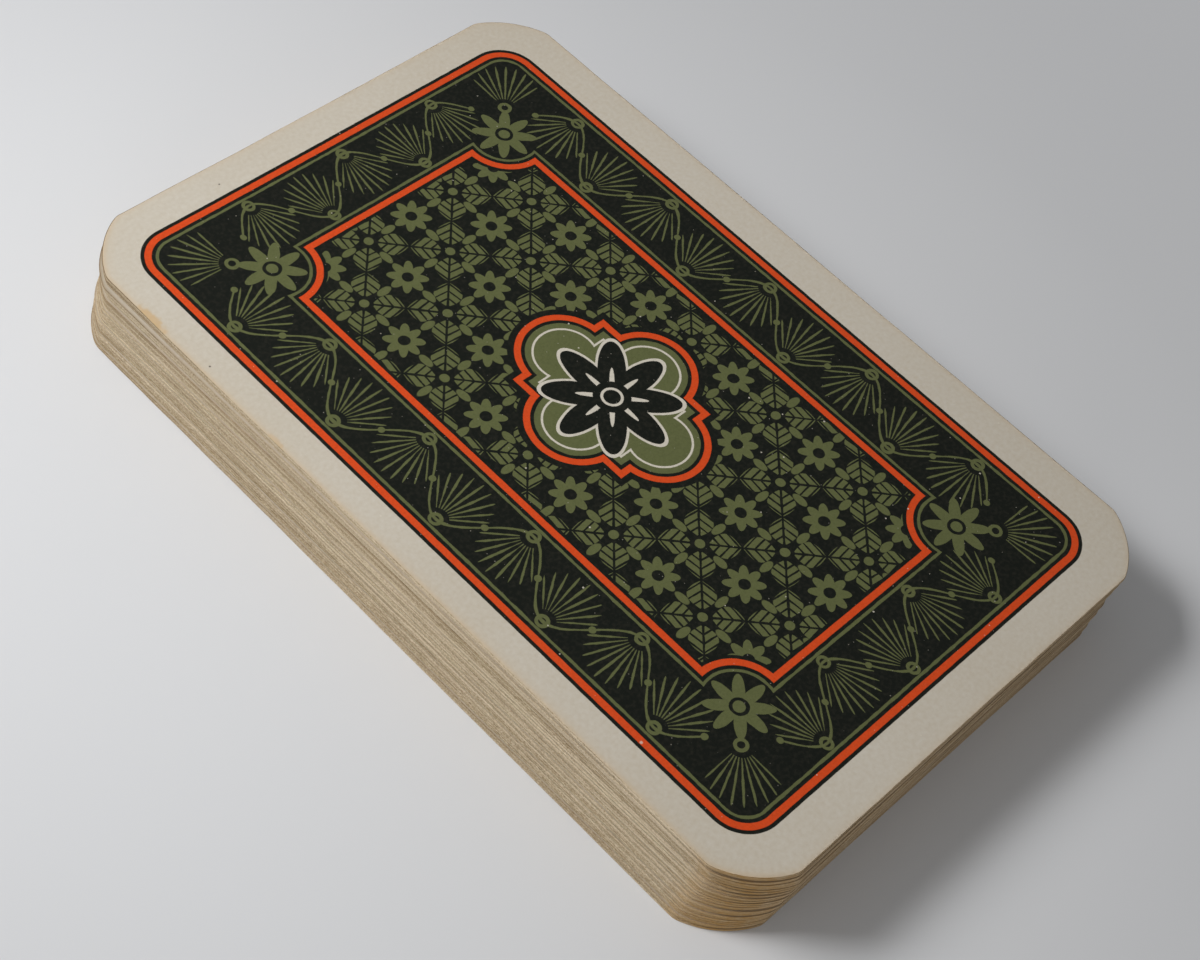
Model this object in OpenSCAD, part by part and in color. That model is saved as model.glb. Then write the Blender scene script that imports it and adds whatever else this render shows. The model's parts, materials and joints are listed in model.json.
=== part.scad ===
// Playing card deck: a squared pack of thirty-two cards lying face down.
// Each card is a flat sheet of pasteboard with its four corners cut to a shallow arc.
// The cards lie one on another with a little slip and twist, as a used pack does.
// Millimetres, +Z up, +Y along the cards, origin under the middle of the pack.

/* [Card] */
// Width of one card
card_w = 59.2; // [50:0.1:66]
// Length of one card
card_l = 90.6; // [80:0.1:100]
// Thickness of the pasteboard
card_t = 0.3; // [0.2:0.01:0.5]
// How far a corner's cut runs along each edge
corner_cut = 5.6; // [3:0.1:8]
// Radius of the arc that a corner is cut to
corner_r = 10; // [8:0.1:20]

/* [Pack] */
// Air left between a card and the next one
card_gap = 0.02; // [0.01:0.01:0.1]
// How far the top card lies to the right of the bottom one
lean_x = 0.65; // [-2:0.05:2]
// How far the top card lies towards the near end of the bottom one
lean_y = 0.5; // [-2:0.05:2]
// How far the middle of the pack swells out to the left
belly = 0.1; // [0:0.05:1]
// Most that a single card slips sideways
slip_x = 0.05; // [0:0.01:0.6]
// Most that a single card slips endways
slip_y = 0.05; // [0:0.01:0.6]
// Most that a single card is turned about its near left corner, in degrees
twist = 0.08; // [0:0.02:1]
// Most that the cards between top and bottom are turned about the middle of their far ends, in degrees
skew = 0.75; // [0:0.05:2]
// How far the fourth card from the top is turned, in degrees
stray_turn = 0.08; // [0:0.02:1]
// How far the fourth card from the top slips to the left
stray_slip = 0.1; // [0:0.05:1]

/* [Hidden] */
SUITS = ["clubs", "spades", "hearts", "diamonds"];
RANKS = ["seven", "eight", "nine", "ten", "jack", "queen", "king", "ace"];

// Names of the cards from the bottom of the pack to its top
NODES = [for (suit = SUITS) for (rank = RANKS) str(rank, "_of_", suit)];

// Number of the top card, counting from 0 at the bottom
top_card = len(NODES) - 1;

// Rise from one card to the next
pitch = card_t + card_gap;

// Half of the straight line between the two ends of a corner's arc
half_chord = corner_cut / sqrt(2);

// Distance of the arc's centre from both edges of its corner
arc_inset = corner_cut / 2 + sqrt((corner_r * corner_r - half_chord * half_chord) / 2);

// Overshoot of a cutting shape past the edge that it trims
over = 1;

// Steps in degrees that spread the slips and the twists unevenly over the pack
golden_step = 137.508;
end_step = 99.5;
twist_step = 71;

// Phases that leave the top card square and draw the two under it in at the far end
slip_phase = 20;
twist_phase = 319;

// Number of the card that stands out under the top three
stray_card = top_card - 3;

// Number of the card that is turned furthest about the middle of its far end
skew_card = top_card - 9;

// Two shades of pasteboard, so that neighbouring cards can be told apart
paper_light = [0.77, 0.73, 0.67];
paper_dark = [0.67, 0.60, 0.50];

// Place of card k up the pack, from -0.5 at the bottom to 0.5 at the top
function level(k) = k / top_card - 0.5;

// Swell of the pack to the left at card k, evened out about the middle of the range
function swell(k) = belly * (cos(180 * level(k)) - 0.5);

// Sideways, endways and turning places of card k
function stray(k) = k == stray_card ? stray_slip : 0;
function place_x(k) = lean_x * level(k) - swell(k) - stray(k) + slip_x * sin(golden_step * k + slip_phase);
function place_y(k) = -lean_y * level(k) + slip_y * sin(end_step * k);
function turn(k) = k == stray_card ? stray_turn : twist * sin(twist_step * k + twist_phase);
function end_turn(k) = skew * min(k / skew_card, (top_card - k) / (top_card - skew_card));

// What is cut away at the far right corner of a card
module corner_waste() {
    difference() {
        translate([card_w / 2 - arc_inset, card_l / 2 - arc_inset])
            square(arc_inset + over);
        translate([card_w / 2 - arc_inset, card_l / 2 - arc_inset])
            circle(r = corner_r, $fn = 96);
    }
}

// Outline of a card about its own centre
module outline() {
    difference() {
        square([card_w, card_l], center = true);
        for (flip_x = [0, 1], flip_y = [0, 1])
            mirror([flip_x, 0])
                mirror([0, flip_y])
                    corner_waste();
    }
}

// Turns what it holds about a point, by an angle in degrees
module turned(point, angle) {
    translate(point)
        rotate(angle)
            translate(-point)
                children();
}

// Card k at its place in the pack
module card(k) {
    near_left = [-card_w / 2, -card_l / 2, 0];
    far_middle = [0, card_l / 2, 0];
    color(k % 2 == 0 ? paper_light : paper_dark)
        translate([place_x(k), place_y(k), k * pitch])
            turned(far_middle, end_turn(k))
                turned(near_left, turn(k))
                    linear_extrude(card_t)
                        outline();
}

for (k = [0 : top_card])
    card(k);
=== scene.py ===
"""Playing card deck: the looks of a used pack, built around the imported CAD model.

Each card is a thin sheet with a soft, worn edge. It stands for its CAD node and rides on its body.
The ornament of the backs, the pips of the faces and the wear are drawn by shader maths in
millimetres, on a map that every sheet carries.
"""

from __future__ import annotations

import json
import logging
import math
from dataclasses import dataclass
from enum import Enum
from typing import Any, Callable, Iterable, Union

import bpy
import numpy as np
from mathutils import Matrix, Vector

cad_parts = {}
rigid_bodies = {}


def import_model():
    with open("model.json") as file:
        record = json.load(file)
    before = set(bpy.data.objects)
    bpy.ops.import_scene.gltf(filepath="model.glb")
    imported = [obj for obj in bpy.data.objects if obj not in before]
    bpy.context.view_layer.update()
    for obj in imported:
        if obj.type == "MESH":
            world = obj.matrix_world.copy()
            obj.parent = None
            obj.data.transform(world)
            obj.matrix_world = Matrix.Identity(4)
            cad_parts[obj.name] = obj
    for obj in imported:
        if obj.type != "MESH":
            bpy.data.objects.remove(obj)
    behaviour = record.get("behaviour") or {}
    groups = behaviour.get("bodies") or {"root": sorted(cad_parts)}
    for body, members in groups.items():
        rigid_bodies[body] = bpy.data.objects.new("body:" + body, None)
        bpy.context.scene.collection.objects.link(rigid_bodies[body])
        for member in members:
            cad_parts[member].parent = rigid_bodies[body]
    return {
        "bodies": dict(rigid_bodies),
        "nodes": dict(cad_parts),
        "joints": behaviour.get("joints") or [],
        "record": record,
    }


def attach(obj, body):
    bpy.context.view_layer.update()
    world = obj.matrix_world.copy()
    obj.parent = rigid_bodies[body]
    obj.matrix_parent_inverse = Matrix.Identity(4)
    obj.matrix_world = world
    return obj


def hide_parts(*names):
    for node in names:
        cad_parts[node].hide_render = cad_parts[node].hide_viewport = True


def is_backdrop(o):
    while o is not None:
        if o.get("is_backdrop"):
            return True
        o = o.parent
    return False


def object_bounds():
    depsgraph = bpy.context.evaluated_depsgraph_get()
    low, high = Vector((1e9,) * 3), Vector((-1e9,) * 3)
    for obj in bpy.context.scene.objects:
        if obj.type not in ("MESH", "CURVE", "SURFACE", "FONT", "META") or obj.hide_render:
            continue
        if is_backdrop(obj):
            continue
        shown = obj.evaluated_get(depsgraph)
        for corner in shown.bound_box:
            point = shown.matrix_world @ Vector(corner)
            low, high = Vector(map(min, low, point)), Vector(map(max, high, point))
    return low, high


LOG = logging.getLogger("card_deck")

MM = 0.001
SHEET_MAP = "Sheet"
BAKE_MAP = "OFBake"

Colour = tuple[float, float, float]
Operand = Union["Value", float]


def ink(red: int, green: int, blue: int) -> Colour:
    """Turn a colour written in screen values of 0 to 255 into Blender's linear values.

    The sRGB curve has a straight foot and follows a power of 2.4 above it.

    Args:
        red: Red on the screen.
        green: Green on the screen.
        blue: Blue on the screen.

    Returns:
        The linear red, green and blue.
    """
    shares = np.array([red, green, blue]) / 255.0
    linear = np.where(shares <= 0.04045, shares / 12.92, ((shares + 0.055) / 1.055) ** 2.4)
    return tuple(float(v) for v in linear)


def add_object(name: str, data: bpy.types.ID) -> bpy.types.Object:
    """Make an object, and put it into the scene.

    Args:
        name: The object's name.
        data: Its mesh, lamp or camera.

    Returns:
        The object.
    """
    made = bpy.data.objects.new(name, data)
    bpy.context.scene.collection.objects.link(made)
    return made


def stand(item: bpy.types.Object, axes: Iterable[np.ndarray], place: Iterable[float]) -> None:
    """Turn an object's own axes along three directions, and put it at a place.

    Args:
        item: The object.
        axes: Directions of its x, y and z axes, each of length 1.
        place: Its place in metres.
    """
    matrix = np.eye(4)
    matrix[:3, :3] = np.column_stack(tuple(axes))
    matrix[:3, 3] = place
    item.matrix_world = Matrix(matrix.tolist())


class Suit(Enum):
    """The four suits, in the order in which they lie in the pack."""

    CLUBS = "clubs"
    SPADES = "spades"
    HEARTS = "hearts"
    DIAMONDS = "diamonds"


class Rank(Enum):
    """The eight ranks of a suit, in the order in which they lie in the pack."""

    SEVEN = "seven"
    EIGHT = "eight"
    NINE = "nine"
    TEN = "ten"
    JACK = "jack"
    QUEEN = "queen"
    KING = "king"
    ACE = "ace"


class Part(Enum):
    """The surfaces of a card, with the place of each one's material on the mesh."""

    BACK = 0
    EDGE = 1
    FACE = 2


def operation(kind: str) -> Callable[..., Value]:
    """Make a method of Value that adds one kind of Math node.

    Args:
        kind: The node's operation.

    Returns:
        The method, which takes the node's other operands.
    """
    def method(self: Value, *others: Operand) -> Value:
        """Add the node, with this number as its first operand."""
        return self.shader.math(kind, self, *others)

    return method


class Value:
    """A number that a node gives. Python's operators and these methods on it add Math nodes.

    over gives 1 where the number is over a limit and 0 elsewhere, times_plus multiplies by a factor and
    adds an addend in one node, and fraction is what is left over the whole number below.
    """

    __add__ = __radd__ = operation("ADD")
    __sub__ = operation("SUBTRACT")
    __mul__ = __rmul__ = operation("MULTIPLY")
    __truediv__ = operation("DIVIDE")
    __abs__ = operation("ABSOLUTE")
    least = operation("MINIMUM")
    most = operation("MAXIMUM")
    over = operation("GREATER_THAN")
    times_plus = operation("MULTIPLY_ADD")
    root = operation("SQRT")
    cosine = operation("COSINE")
    fraction = operation("FRACT")
    rounded = operation("ROUND")

    def __init__(self, shader: Shader, socket: bpy.types.NodeSocket) -> None:
        """Keep the shader that the number belongs to and the socket that gives it."""
        self.shader = shader
        self.socket = socket

    def __rsub__(self, other: float) -> Value:
        """Difference, from a plain number."""
        return self.shader.math("SUBTRACT", other, self)

    def toward(self, other: Operand, share: Value) -> Value:
        """This number where share is 0, the other where it is 1."""
        return share.times_plus(other - self, self)

    def filled(self, softness: float = 0.06) -> Value:
        """Coverage of the shape whose signed distance in millimetres this is, with a soft rim."""
        return self.shader.math("MULTIPLY_ADD", self, -1.0 / softness, 0.5, clamp=True)

    def ramp(self, low: float, high: float) -> Value:
        """0 below low and 1 above high, straight between them."""
        scale = 1.0 / (high - low)
        return self.shader.math("MULTIPLY_ADD", self, scale, -low * scale, clamp=True)

    def plateau(self, start: float, full: float, fall: float, end: float) -> Value:
        """0 up to start, 1 from full to fall, 0 from end, straight between them."""
        return self.ramp(start, full) - self.ramp(fall, end)


@dataclass(frozen=True)
class Point:
    """A place on a sheet, in millimetres.

    Attributes:
        x: Distance across the card.
        y: Distance along the card.
    """

    x: Value
    y: Value

    def moved(self, x: Operand, y: Operand) -> Point:
        """The same place, measured from another origin."""
        return Point(self.x - x, self.y - y)

    def turned(self, degrees: float) -> Point:
        """The same place, on axes turned by an angle."""
        c, s = math.cos(math.radians(degrees)), math.sin(math.radians(degrees))
        return Point(self.x.times_plus(c, self.y * s), self.y.times_plus(c, self.x * -s))

    def folded(self) -> Point:
        """The place's mirror image in the first quarter."""
        return Point(abs(self.x), abs(self.y))

    def length(self) -> Value:
        """Distance from the origin."""
        return self.x.times_plus(self.x, self.y * self.y).root()

    def angle_from_y(self) -> Value:
        """Angle from the y axis towards the x axis, in radians."""
        return self.x.shader.math("ARCTAN2", self.x, self.y)

    def toward(self, other: Point, share: Value) -> Point:
        """This place where share is 0, the other where it is 1."""
        return Point(self.x.toward(other.x, share), self.y.toward(other.y, share))


class Shader:
    """A material's node tree, with one method that makes any node."""

    def __init__(self, name: str) -> None:
        """Start an empty material.

        Args:
            name: The material's name.
        """
        self.material = bpy.data.materials.new(name)
        self.material.use_nodes = True
        self.tree = self.material.node_tree
        self.tree.nodes.clear()

    def node(self, kind: str, settings: dict[str, Any] | None = None,
             sockets: dict[str | int, Any] | None = None) -> bpy.types.Node:
        """Add a node.

        Args:
            kind: The node's type.
            settings: Its settings, which are set first.
            sockets: What goes into its sockets: a Value or a node's output as a link, or a plain value.

        Returns:
            The node.
        """
        made = self.tree.nodes.new(kind)
        for key, setting in (settings or {}).items():
            setattr(made, key, setting)
        for key, given in (sockets or {}).items():
            source = given.socket if isinstance(given, Value) else given
            if isinstance(source, bpy.types.NodeSocket):
                self.tree.links.new(source, made.inputs[key])
            else:
                made.inputs[key].default_value = source
        return made

    def math(self, kind: str, *operands: Operand, clamp: bool = False) -> Value:
        """Add a Math node.

        Args:
            kind: The node's operation.
            operands: Its one to three operands.
            clamp: Whether the result is held between 0 and 1.

        Returns:
            The result.
        """
        made = self.node("ShaderNodeMath", {"operation": kind, "use_clamp": clamp},
                         dict(enumerate(operands)))
        return Value(self, made.outputs[0])

    def mix(self, share: Operand, first: Any, second: Any) -> Value:
        """Mix two colours.

        Args:
            share: 0 for the first colour, 1 for the second.
            first: A colour, plain or from a node.
            second: A colour, plain or from a node.

        Returns:
            The mixed colour.
        """
        first, second = ((*c, 1.0) if isinstance(c, tuple) else c for c in (first, second))
        made = self.node("ShaderNodeMix", {"data_type": "RGBA"}, {0: share, 6: first, 7: second})
        return Value(self, made.outputs[2])

    def attribute(self, name: str) -> Value:
        """A number that the mesh carries at each of its points."""
        made = self.node("ShaderNodeAttribute", {"attribute_name": name})
        return Value(self, made.outputs["Fac"])

    def sheet_point(self) -> Point:
        """Read the map that every sheet carries.

        Returns:
            The place on the sheet, in millimetres.
        """
        sheet = self.node("ShaderNodeUVMap", {"uv_map": SHEET_MAP})
        parts = self.node("ShaderNodeSeparateXYZ", None, {0: sheet.outputs[0]})
        return Point(Value(self, parts.outputs[0]), Value(self, parts.outputs[1]))

    def place(self, x: Operand, y: Operand, z: Operand) -> Value:
        """A vector from three numbers."""
        return Value(self, self.node("ShaderNodeCombineXYZ", None, {0: x, 1: y, 2: z}).outputs[0])

    def noise(self, place: Value, scale: float, detail: float) -> Value:
        """Add cloudy noise, which lies about 0.5.

        Args:
            place: Where in the noise.
            scale: Lumps to a unit of the place.
            detail: How many finer sizes of lump it has.

        Returns:
            The noise.
        """
        made = self.node("ShaderNodeTexNoise", {"noise_dimensions": "3D"},
                         {"Vector": place, "Scale": scale, "Detail": detail})
        return Value(self, made.outputs[0])

    def dress(self, colour: Value, roughness: Operand, height: Value, depth: float,
              specular: float) -> bpy.types.Material:
        """Close the tree with a Principled surface.

        Args:
            colour: Base colour.
            roughness: Roughness.
            height: Relief, about 0 to 1.
            depth: Depth of the relief in metres.
            specular: Specular level, the same all over.

        Returns:
            The finished material.
        """
        bump = self.node("ShaderNodeBump", None, {"Strength": 1.0, "Distance": depth, "Height": height})
        surface = self.node("ShaderNodeBsdfPrincipled", None, {
            "Base Color": colour, "Roughness": roughness, "Specular IOR Level": specular,
            "Normal": bump.outputs[0]})
        self.node("ShaderNodeOutputMaterial", None, {0: surface.outputs[0]})
        return self.material


@dataclass(frozen=True)
class Mottle:
    """Cloudy noise that lets a second colour through in patches.

    Attributes:
        scale: Lumps to a millimetre.
        detail: How many finer sizes of lump the noise has.
        low: Value of the noise up to which nothing comes through.
        high: Value of the noise from which the most comes through.
        strength: Share of the second colour there.
    """

    scale: float
    detail: float
    low: float
    high: float
    strength: float

    def cover(self, shader: Shader, place: Value) -> Value:
        """Share of the second colour at a place on the sheet."""
        return shader.noise(place, self.scale, self.detail).ramp(self.low, self.high) * self.strength


@dataclass(frozen=True)
class Specks:
    """Small round specks, scattered one to a cell over a share of the cells.

    Attributes:
        spacing: Size of a cell in millimetres.
        radius: Largest radius of a speck in millimetres.
        share: How many of the cells have a speck that can be seen.
        strength: Share of the specks' colour on what they cover.
        softness: Width of a speck's soft rim in millimetres.
    """

    spacing: float
    radius: float
    share: float
    strength: float
    softness: float = 0.05

    def cover(self, shader: Shader, place: Value) -> Value:
        """Share of the specks' colour at a place on the sheet.

        Args:
            shader: The shader of the sheet.
            place: Where on the sheet, in millimetres.

        Returns:
            The share.
        """
        cells = shader.node("ShaderNodeTexVoronoi", {"voronoi_dimensions": "3D"},
                            {"Vector": place, "Scale": 1.0 / self.spacing})
        chance = shader.node("ShaderNodeSeparateColor", None, {0: cells.outputs["Color"]})
        size = Value(shader, chance.outputs[0]).ramp(1.0 - self.share, 1.0)
        distance = Value(shader, cells.outputs["Distance"]) * self.spacing
        return (distance - size * self.radius).filled(self.softness) * size.over(0.0) * self.strength


@dataclass(frozen=True)
class Dot:
    """A single round mark on the top card.

    Attributes:
        x: Its middle across the card, in millimetres.
        y: Its middle along the card, in millimetres.
        radius: Its radius in millimetres.
        strength: Share of its colour on what it covers.
        softness: Width of its soft rim in millimetres.
    """

    x: float
    y: float
    radius: float
    strength: float = 1.0
    softness: float = 0.1

    def cover(self, sheet: Point) -> Value:
        """Share of the dot's colour at a place on the sheet."""
        return (sheet.moved(self.x, self.y).length() - self.radius).filled(self.softness) * self.strength


@dataclass(frozen=True)
class Stain:
    """An old spot on the top card: an oval whose rim wanders and fades.

    Attributes:
        x: Its middle across the card, in millimetres.
        y: Its middle along the card, in millimetres.
        half_w: Half of its width.
        half_h: Half of its length.
        strength: Share of its colour on what it covers.
        wander: How far the rim wanders, as a share of the oval.
        fade: Half of the way over which the rim fades, as a share of the oval.
    """

    x: float
    y: float
    half_w: float
    half_h: float
    strength: float
    wander: float = 1.6
    fade: float = 0.25

    def cover(self, sheet: Point, noise: Value) -> Value:
        """Share of the stain's colour at a place on the sheet.

        Args:
            sheet: The place.
            noise: Noise that the rim follows.

        Returns:
            The share.
        """
        reach = Point((sheet.x - self.x) / self.half_w, (sheet.y - self.y) / self.half_h).length()
        inside = noise * self.wander + (1.0 - self.wander / 2) - reach
        return inside.ramp(-self.fade, self.fade) * self.strength


@dataclass(frozen=True)
class Streaks:
    """Noise along the cut edges, which changes from card to card.

    Attributes:
        along: Lumps to a millimetre along the edge.
        up: Lumps to a millimetre up the edge.
        change: How far the noise moves on over the range of the cards' tones, in lumps.
        detail: How many finer sizes of lump the noise has.
    """

    along: float
    up: float
    change: float
    detail: float = 3.0

    def noise(self, shader: Shader, sheet: Point, tone: Value) -> Value:
        """The noise at a place on a card's edge."""
        place = shader.place(sheet.x * self.along, sheet.y * self.up, tone * self.change)
        return shader.noise(place, 1.0, self.detail)


@dataclass(frozen=True)
class PaperFinish:
    """Aged, uncoated pasteboard.

    Attributes:
        cream: Colour of the clean sheet.
        toned: Colour that handling has given the sheet.
        handled: Colour that fingers have given the top card's rim.
        stain: Colour of the old spots on the margin.
        dirt: Colour of the small dark specks.
        roughness: Roughness of the sheet.
        specular: Specular level of the sheet.
        relief: The paper's grain: lumps to a millimetre, finer sizes of lump, and depth in metres.
        change: How far the paper's noise moves on over the range of the cards' tones, in millimetres.
        face_shift: How far the noise of the faces lies from that of the backs, in millimetres.
        clouds: Large clouds of the toned colour.
        fibres: Fine fibres of the toned colour.
        specks: Small dark specks.
        patchy: Noise that the stains' rims follow: lumps to a millimetre, and finer sizes of lump.
        stains: The old spots on the top card's margin.
        dots: Dots of ink on the top card's margin.
    """

    cream: Colour = ink(208, 201, 188)
    toned: Colour = ink(186, 172, 148)
    handled: Colour = ink(205, 181, 146)
    stain: Colour = ink(202, 166, 112)
    dirt: Colour = ink(70, 60, 50)
    roughness: float = 0.75
    specular: float = 0.2
    relief: tuple[float, float, float] = (2.4, 3.0, 6e-6)
    change: float = 60.0
    face_shift: float = 30.0
    clouds: Mottle = Mottle(0.06, 3.0, 0.3, 0.7, 0.16)
    fibres: Mottle = Mottle(2.2, 4.0, 0.25, 0.75, 0.4)
    specks: Specks = Specks(7.0, 0.17, 0.25, 0.7)
    patchy: tuple[float, float] = (1.2, 3.0)
    stains: tuple[Stain, Stain] = (Stain(-29.25, 33.4, 0.6, 1.7, 0.6), Stain(-29.4, 15.5, 0.4, 1.1, 0.3))
    dots: tuple[Dot, ...] = (Dot(-28.56, 25.8, 0.09), Dot(-13.2, 42.9, 0.08))


@dataclass(frozen=True)
class InkFinish:
    """Printing inks, which shine a little more than the paper.

    Attributes:
        black: The dark ground.
        olive: The ornament.
        orange: The frames.
        cream: Lines that the ground leaves bare.
        red: The red pips.
        roughness: Roughness of a solid inked area.
        bends: Bends to a millimetre in the outlines of the back's print, and finer sizes of bend.
        waver: Range over which those outlines wander, in millimetres.
        uneven: Range of how far the olive ink falls short of its outlines, in millimetres.
        worn: Where the ink is rubbed thin.
        grain: Dark grain in the inked areas.
        pinholes: Specks that the ink left bare, large and small.
        nick: A spot where the top card's print is rubbed off.
    """

    black: Colour = ink(16, 20, 14)
    olive: Colour = ink(97, 102, 63)
    orange: Colour = ink(220, 76, 26)
    cream: Colour = ink(214, 207, 192)
    red: Colour = ink(178, 52, 38)
    roughness: float = 0.5
    bends: tuple[float, float] = (0.9, 2.0)
    waver: float = 0.06
    uneven: float = 0.16
    worn: Mottle = Mottle(2.6, 4.0, 0.45, 0.85, 0.03)
    grain: Mottle = Mottle(4.5, 3.0, 0.4, 0.75, 0.16)
    pinholes: tuple[Specks, ...] = (Specks(1.3, 0.1, 0.35, 0.75), Specks(0.55, 0.055, 0.3, 0.4))
    nick: Dot = Dot(-25.56, -27.9, 0.14, 0.7)


@dataclass(frozen=True)
class EdgeFinish:
    """The cut edges of the cards, browned by handling.

    A span is four distances along the rim in millimetres, anticlockwise from the near end of the right
    side: where the edge starts to grow paler, is paler in full, starts to darken and is dark again.

    Attributes:
        pale: The palest edges.
        tan: The common edges.
        brown: The browned corners.
        crevice_grime_and_shade: Dark colour of the joints and rims between the cards: grime and painted
            shade.
        roughness: Roughness of the cut fibres.
        specular: Specular level of the cut fibres.
        relief: Depth of the cut fibres in metres.
        streak: Long streaks.
        fibre: Fine fibres.
        tone_weight: How much a card's tone makes its edge paler.
        streak_weight: How much the streaks make it paler.
        fibre_weight: How much the fibres make it paler.
        left_painted_light_span: Span that runs along the left side and fades along the near one.
        left_painted_light: How much paler the edge is there, as painted light.
        near_painted_light_span: Span by the right end of the near side.
        near_painted_light: How much paler the edge is there, as painted light on that shaded side.
        paleness: Sums of all these at which an edge is tan and at which it is palest.
        blotch: Blotches of brown at the corners.
        blotch_range: Values of that noise at which a blotch starts and is full.
        browned: Share of brown at a brown corner between the blotches, and what a blotch adds.
        joint: Heights off the edge's middle at which a joint's darkening starts and is full, in mm:
            partly grime, partly painted shade between the cards.
        grime_and_shade: Lumps of the darkening to a millimetre along a joint, their change over the
            range of the cards' tones, and finer sizes of lump.
        grime_and_shade_range: Values of that noise at which the darkening starts and is full.
        grime_and_shade_share: Share of the darkening at most, and how much less it is at a brown corner.
        dark_joint: Tone over which a joint is dark at a brown corner, and the darkening that this adds.
        clean_joint: Share of the darkening in every joint.
        opening: Heights off the edge's middle at which an open joint's shade starts and is full, in mm.
        opening_shade: Share of shade in an open joint.
        rim_grime_and_shade: Share of darkening on the rims of the lower cards at a brown corner, partly
            grime and partly painted shade between the cards.
        top_grime: The same on the top card.
    """

    pale: Colour = ink(202, 186, 160)
    tan: Colour = ink(146, 127, 98)
    brown: Colour = ink(170, 132, 76)
    crevice_grime_and_shade: Colour = ink(92, 70, 42)
    roughness: float = 0.85
    specular: float = 0.2
    relief: float = 2.5e-5
    streak: Streaks = Streaks(0.035, 3.0, 90.0)
    fibre: Streaks = Streaks(6.0, 12.0, 40.0)
    tone_weight: float = 0.5
    streak_weight: float = 1.2
    fibre_weight: float = 2.5
    left_painted_light_span: tuple[float, float, float, float] = (150.0, 225.0, 231.0, 285.0)
    left_painted_light: float = 0.19
    near_painted_light_span: tuple[float, float, float, float] = (236.0, 270.0, 279.0, 287.0)
    near_painted_light: float = 0.4
    paleness: tuple[float, float] = (1.79, 2.59)
    blotch: Streaks = Streaks(0.8, 2.0, 15.0, 2.0)
    blotch_range: tuple[float, float] = (0.35, 0.65)
    browned: tuple[float, float] = (0.55, 0.4)
    joint: tuple[float, float] = (0.1, 0.15)
    grime_and_shade: tuple[float, float, float] = (0.15, 70.0, 3.0)
    grime_and_shade_range: tuple[float, float] = (0.4, 0.75)
    grime_and_shade_share: tuple[float, float] = (0.7, 0.5)
    dark_joint: tuple[float, float] = (0.84, 0.5)
    clean_joint: float = 0.12
    opening: tuple[float, float] = (0.05, 0.1)
    opening_shade: float = 0.85
    rim_grime_and_shade: float = 0.5
    top_grime: float = 0.1


PAPER = PaperFinish()
INK = InkFinish()
EDGE = EdgeFinish()


def rounded_box(at: Point, half_w: float, half_h: float, radius: float) -> Value:
    """Signed distance from a box with round corners: the distance past its inner box, less the radius.

    Args:
        at: The place, folded into the first quarter.
        half_w: Half of the box's width.
        half_h: Half of its height.
        radius: Radius of its corners.

    Returns:
        The distance in millimetres, negative inside.
    """
    past = at.moved(half_w - radius, half_h - radius)
    outside = Point(past.x.most(0.0), past.y.most(0.0)).length()
    return outside + past.x.most(past.y).least(0.0) - radius


def stripe(distance: Value, middle: float, width: float) -> Value:
    """Signed distance from a line of some width that runs along a shape at a distance from its rim."""
    return abs(distance - middle) - width / 2


@dataclass(frozen=True)
class Rosette:
    """A round flower of equal petals about the origin.

    Attributes:
        length: Length of a petal in millimetres.
        width: Width of a petal in millimetres.
        petals: Number of petals.
    """

    length: float
    width: float
    petals: int = 8

    def distance(self, at: Point) -> Value:
        """Signed distance from the flower.

        A petal's half width follows the root of its share of length less the square of that share.

        Args:
            at: The place.

        Returns:
            The distance in millimetres.
        """
        step = 2 * math.pi / self.petals
        radius = at.length()
        angle = at.angle_from_y()
        aside = abs(angle - (angle / step).rounded() * step) * radius
        share = radius / self.length
        half = (share - share * share).most(0.0).root() * self.width
        return (aside - half).most(radius - self.length)


@dataclass(frozen=True)
class Palmette:
    """A fan of petals that springs from a ring about the origin along +y.

    Attributes:
        step: Angle from a petal to the next, in degrees.
        last: Number of the outermost petal on a side, from 0 in the middle.
        length: Length of the middle petal in millimetres.
        shorter: How much shorter a petal is, for each unit of its number's square.
        slim: Half of a petal's angle at its foot, as a share of the step.
        start: Distance of the petals' feet from the origin.
        ring: Radius of the ring, on its middle line.
        ring_line: Width of the ring's line.
    """

    step: float = 10.8
    last: float = 4.0
    length: float = 6.15
    shorter: float = 0.075
    slim: float = 0.165
    start: float = 1.3
    ring: float = 0.55
    ring_line: float = 0.36

    def distance(self, at: Point) -> Value:
        """Signed distance from the fan.

        A petal's half angle shrinks to its tip as the root of one less the fourth power of the share
        of its length.

        Args:
            at: The place, with x folded.

        Returns:
            The distance in millimetres.
        """
        step = math.radians(self.step)
        radius = at.length()
        angle = at.angle_from_y()
        number = (angle / step).rounded().least(self.last)
        reach = self.length - number * number * self.shorter
        share = radius / reach
        square = share * share
        half = (1.0 - square * square).most(0.0).root() * (step * self.slim)
        petal = (abs(angle - number * step) - half) * radius
        ring = stripe(radius, self.ring, self.ring_line)
        return petal.most(radius - reach).most(self.start - radius).least(ring)


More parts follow.
